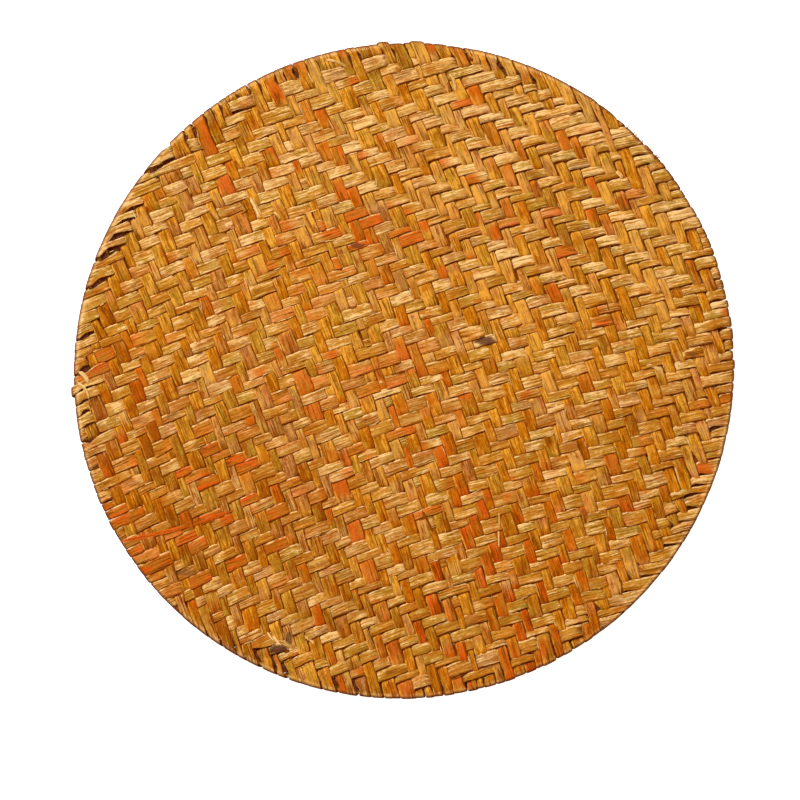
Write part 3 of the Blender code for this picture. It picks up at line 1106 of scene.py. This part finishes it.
class Board:
    """A material's node tree."""

    def __init__(self, name):
        self.material = bpy.data.materials.new(name)
        self.material.use_nodes = True
        self.tree = self.material.node_tree
        self.tree.nodes.clear()

    def node(self, kind, settings=None, values=None, output=0):
        """A node with its settings made first, then its sockets' values or links. Returns one output."""
        made = self.tree.nodes.new(kind)
        for name, value in (settings or {}).items():
            setattr(made, name, value)
        for name, value in (values or {}).items():
            if isinstance(value, Wire):
                self.tree.links.new(value.socket, made.inputs[name])
            else:
                made.inputs[name].default_value = value
        return Wire(self, made.outputs[output]) if made.outputs else made

    def mix(self, share, first, second):
        """first where share is 0 and second where it is 1, for colours."""
        return self.node("ShaderNodeMix", {"data_type": "RGBA"}, {0: share, 6: first, 7: second}, 2)

    def noise(self, vector, scale, detail, roughness):
        """Noise about one half."""
        values = {"Vector": vector, "Scale": scale, "Detail": detail, "Roughness": roughness}
        return self.node("ShaderNodeTexNoise", values=values)

    def step(self, low, high, value):
        """0 at low and 1 at high, with a soft curve between them. High may be the smaller."""
        values = {"Value": value, "From Min": low, "From Max": high}
        return self.node("ShaderNodeMapRange", {"interpolation_type": "SMOOTHSTEP"}, values)

    def vector_math(self, operation, first, second=(0.0, 0.0, 0.0), output=0):
        """Vector Math of two vectors; its output 1 is a number."""
        return self.node("ShaderNodeVectorMath", {"operation": operation}, {0: first, 1: second}, output)

    def surface(self, values):
        """Closes the material with this shader and returns it."""
        shader = self.node("ShaderNodeBsdfPrincipled", values=values)
        self.node("ShaderNodeOutputMaterial", values={"Surface": shader})
        return self.material


def with_alpha(colour):
    """The colour as a socket takes it."""
    return (*colour, 1.0)


def grey(level):
    """A grey as a socket takes it."""
    return with_alpha([level] * 3)


def stain_cover(board, plait, stray):
    """How dark the spots make the surface; their edges stray as the noise does."""
    place = board.node("ShaderNodeTexCoord", output=3)
    covers = []
    for spot in STAINS:
        middle = plait.float_middle(spot["kind"], spot["near"])
        away = board.vector_math("SUBTRACT", place, (*middle, 0.0))
        away = board.vector_math("MULTIPLY", away, (1.0 / spot["radii"][0], 1.0 / spot["radii"][1], 0.0))
        reach = board.vector_math("LENGTH", away, output=1) + (stray - 0.5) * STAIN_STRAY
        covers.append(board.step(*STAIN_EDGE, reach) * spot["strength"])
    return sum(covers)


def straw_material(name, plait, colours, base, pale_streak, deep_streak):
    """Dry straw: lengthwise fibres, tone and dye from the strip's attributes, with painted shade in the
    crevices and a painted highlight and shadow line along the edges.
    """
    board = Board(name)
    weave = board.node("ShaderNodeUVMap", {"uv_map": "weave"})
    channels = []
    for layer in ("dye", "shade_edge_pink"):
        packed = board.node("ShaderNodeAttribute", {"attribute_name": layer})
        for index in range(3):
            channels.append(board.node("ShaderNodeSeparateColor", values={0: packed}, output=index))
        channels.append(board.node("ShaderNodeAttribute", {"attribute_name": layer}, output=3))
    tone, red, olive, pale, shade, stain_and_deep_shade, edge, pink = channels
    noises = {}
    for row in STRAW_NOISES:
        place = board.vector_math("MULTIPLY", weave, (*row["scale"], 0.0))
        place = board.vector_math("ADD", place, (0.0, 0.0, row["part"]))
        noises[row["name"]] = board.noise(place, 1.0, row["detail"], row["roughness"])
    cloud, hue, frayed = noises["cloud"], noises["hue"], noises["frayed"]
    grain = sum((noises[name] - 0.5) * size for name, size in GRAIN.items())

    def mark(name, value):
        """How strongly one kind of mark covers the straw."""
        low, high, cover = MARKS[name]
        return board.step(low, high, value) * cover

    def shows(dye):
        """How much of a dye shows in the clouds and the grain."""
        everywhere, *sizes = DYE_SHOWS[dye]
        return sum((noise * size for noise, size in zip((cloud, grain), sizes)), everywhere)

    light = tone + grain + sum((noises[name] - 0.5) * size for name, size in CLOUDS.items())
    not_red = (1.0 - red * RED_HIDES).clamped()
    crack = mark("crack", (noises["split"] - 0.5).math("ABSOLUTE")) * mark("split", noises["where_split"])
    ragged = edge + (frayed - 0.5) * RAGGEDNESS
    layers = (
        (olive * shows("olive"), colours.olive),
        (pink * (1.0 - red).clamped() * shows("pink"), colours.pink),
        (red * shows("red"), colours.red),
        (pale * not_red * shows("pale"), colours.straw),
        (mark("reddish", hue), colours.red),
        (mark("greenish", hue), colours.olive),
        (mark("deep streak", light), deep_streak),
        (mark("pale streak", light) * not_red, pale_streak),
        (mark("ember", light) * red.clamped(), colours.ember),
        (crack * CRACK_COVER, deep_streak),
        ((crack * red).clamped() * RED_CRACK_COVER, colours.crevice_shade),
        # A painted highlight along each strip's lit edge, and a painted shadow line along its dark edge.
        (mark("painted edge highlight", edge) * mark("frayed", frayed), pale_streak),
        (mark("painted shadow line", ragged) * mark("worn", noises["worn"]), colours.crevice_shade),
        # Painted shade where the strip dives, on the fold and along puffed edges; then real dark spots, with
        # the deep painted shade in their colour.
        (shade * SHADE_COVER, colours.crevice_shade),
        (stain_and_deep_shade + stain_cover(board, plait, frayed), colours.stain_and_deep_shade),
    )
    colour = with_alpha(base)
    for share, tint in layers:
        colour = board.mix(share.clamped(), colour, with_alpha(tint))

    relief = sum(noises[name] * size for name, size in RELIEF.items()) - crack * CRACK_DEPTH
    mean, by_fibre, by_shade = ROUGHNESS
    roughness = mean + (noises["fibre"] - 0.5) * by_fibre + shade * by_shade
    return board.surface({
        "Base Color": colour,
        "Roughness": roughness.clamped(),
        "Normal": board.node("ShaderNodeBump", values={**BUMP, "Height": relief}),
        **SHEEN,
    })


def floor_material(name, colours):
    """A matt pale table top, lit from below except under the mat, with a barely seen mottle."""
    board = Board(name)
    place = board.node("ShaderNodeTexCoord", output=3)
    mottle = board.noise(place, *MOTTLE_NOISE) * MOTTLE_COVER
    away = board.vector_math("LENGTH", place, output=1)
    return board.surface({
        "Base Color": board.mix(mottle, with_alpha(colours.floor), grey(MOTTLE_GREY)),
        "Roughness": 0.9,
        "Emission Color": board.mix(board.step(*SHADE_UNDER, away), grey(0.0), grey(1.0)),
        "Emission Strength": TABLE_GLOW,
    })


# ---- Operators ----


def straw_of(context, plait, kind):
    """The straw of one set of strips, made the first time it is asked for."""
    colours = context.scene.placemat_colours
    name = f"{KIND_NAMES[kind]}_straw"
    tints = [getattr(colours, KIND_NAMES[kind] + shade) for shade in ("", "_pale", "_deep")]
    return bpy.data.materials.get(name) or straw_material(name, plait, colours, *tints)


def finish_piece(piece, material):
    """Gives a piece its straw and its place on the part."""
    piece.data.materials.clear()
    piece.data.materials.append(material)
    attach(piece, BODY)
    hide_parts(NODE)


def plait_bands(context, kind):
    """All strips of one set, in a few pieces that lie side by side."""
    plait = Plait(context.scene.placemat_sizes)
    strips = [Strip(plait, kind, number) for number in range(-STRIP_REACH, STRIP_REACH)]
    strips = [strip for strip in strips if strip.exists()]
    surfaces = [strip.surface() for strip in strips]
    lengths = np.cumsum([len(surface["along"]) for surface in surfaces])
    bands = len(BAND_NAMES[kind])
    band_of = np.minimum((lengths - 1) * bands // lengths[-1], bands - 1)
    for band, where in enumerate(BAND_NAMES[kind]):
        members = np.flatnonzero(band_of == band)
        chosen = [surfaces[index] for index in members]
        piece = join_ribbons(f"{KIND_NAMES[kind]}_strips_{where}", chosen)
        finish_piece(piece, straw_of(context, plait, kind))
        widths = [2 * strips[index].half for index in members]
        lengths_flat = [np.ptp(surface["along"].mean(axis=1)) for surface in chosen]
        area = sum(length * width for length, width in zip(lengths_flat, widths))


class PLACEMAT_OT_weft(Operator):
    """Lay the weft strips, which run across the mat"""

    bl_idname = "placemat.weft"
    bl_label = "Weft strips"

    def execute(self, context):
        plait_bands(context, WEFT)
        return {"FINISHED"}


class PLACEMAT_OT_warp(Operator):
    """Lay the warp strips, which run up the mat"""

    bl_idname = "placemat.warp"
    bl_label = "Warp strips"

    def execute(self, context):
        plait_bands(context, WARP)
        return {"FINISHED"}


class PLACEMAT_OT_bits(Operator):
    """Scatter the loose bits, the fibres split from the strips and the hairs at the rim"""

    bl_idname = "placemat.bits"
    bl_label = "Loose bits and fibres"

    def execute(self, context):
        plait = Plait(context.scene.placemat_sizes)
        surfaces = [bit_surface(plait, **bit) for bit in BITS]
        surfaces += fibre_surfaces(plait) + hair_surfaces(plait)
        finish_piece(join_ribbons("loose_bits", surfaces), straw_of(context, plait, WEFT))
        return {"FINISHED"}


def add_area_light(name, power, size, place, colour):
    """A square soft box that faces the mat's middle."""
    light = bpy.data.lights.new(name, "AREA")
    light.energy, light.size, light.color = power, size, colour
    lamp = bpy.data.objects.new(name, light)
    bpy.context.scene.collection.objects.link(lamp)
    lamp.location = place
    lamp.rotation_euler = (-lamp.location).to_track_quat("-Z", "Y").to_euler()


class PLACEMAT_OT_stage(Operator):
    """Set the pale table, the soft light and the camera above the mat"""

    bl_idname = "placemat.stage"
    bl_label = "Table, light and camera"

    def execute(self, context):
        bpy.ops.object.select_all(action="DESELECT")
        bpy.ops.mesh.primitive_plane_add(size=TABLE_SIZE, location=(0.0, 0.0, LOW[2]))
        floor = context.object
        floor.name = "table"
        floor.data.materials.append(floor_material("pale_table", context.scene.placemat_colours))

        for light in LIGHTS:
            add_area_light(**light)
        world = bpy.data.worlds.new("studio")
        world.use_nodes = True
        for name, value in WORLD.items():
            world.node_tree.nodes["Background"].inputs[name].default_value = value
        context.scene.world = world
        context.scene.view_settings.view_transform = "Standard"

        camera = bpy.data.cameras.new("camera")
        camera.lens, camera.sensor_width = LENS, SENSOR
        eye = bpy.data.objects.new("camera", camera)
        context.scene.collection.objects.link(eye)
        eye.location = (VIEW_MIDDLE[0], VIEW_MIDDLE[1], HIGH[2] + VIEW_WIDTH * LENS / SENSOR)
        context.scene.camera = eye
        return {"FINISHED"}


class PLACEMAT_PT_panel(Panel):
    """The mat's sizes, colours and pieces"""

    bl_label = "Placemat"
    bl_idname = "PLACEMAT_PT_panel"
    bl_space_type = "VIEW_3D"
    bl_region_type = "UI"
    bl_category = "Placemat"

    def draw(self, context):
        for group in (context.scene.placemat_sizes, context.scene.placemat_colours):
            box = self.layout.box()
            for name in group.bl_rna.properties.keys():
                if name not in ("rna_type", "name"):
                    box.prop(group, name)
        for operator in OPERATORS:
            self.layout.operator(operator.bl_idname)


OPERATORS = (PLACEMAT_OT_weft, PLACEMAT_OT_warp, PLACEMAT_OT_bits, PLACEMAT_OT_stage)
CLASSES = (MatSizes, MatColours, *OPERATORS, PLACEMAT_PT_panel)


def register():
    for cls in CLASSES:
        bpy.utils.register_class(cls)
    bpy.types.Scene.placemat_sizes = PointerProperty(type=MatSizes)
    bpy.types.Scene.placemat_colours = PointerProperty(type=MatColours)


def unregister():
    del bpy.types.Scene.placemat_colours
    del bpy.types.Scene.placemat_sizes
    for cls in reversed(CLASSES):
        bpy.utils.unregister_class(cls)


def main():
    register()
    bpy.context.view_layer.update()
    bpy.ops.placemat.weft()
    bpy.ops.placemat.warp()
    bpy.ops.placemat.bits()
    bpy.ops.placemat.stage()
    bpy.context.view_layer.update()


if __name__ == "__main__":
    main()
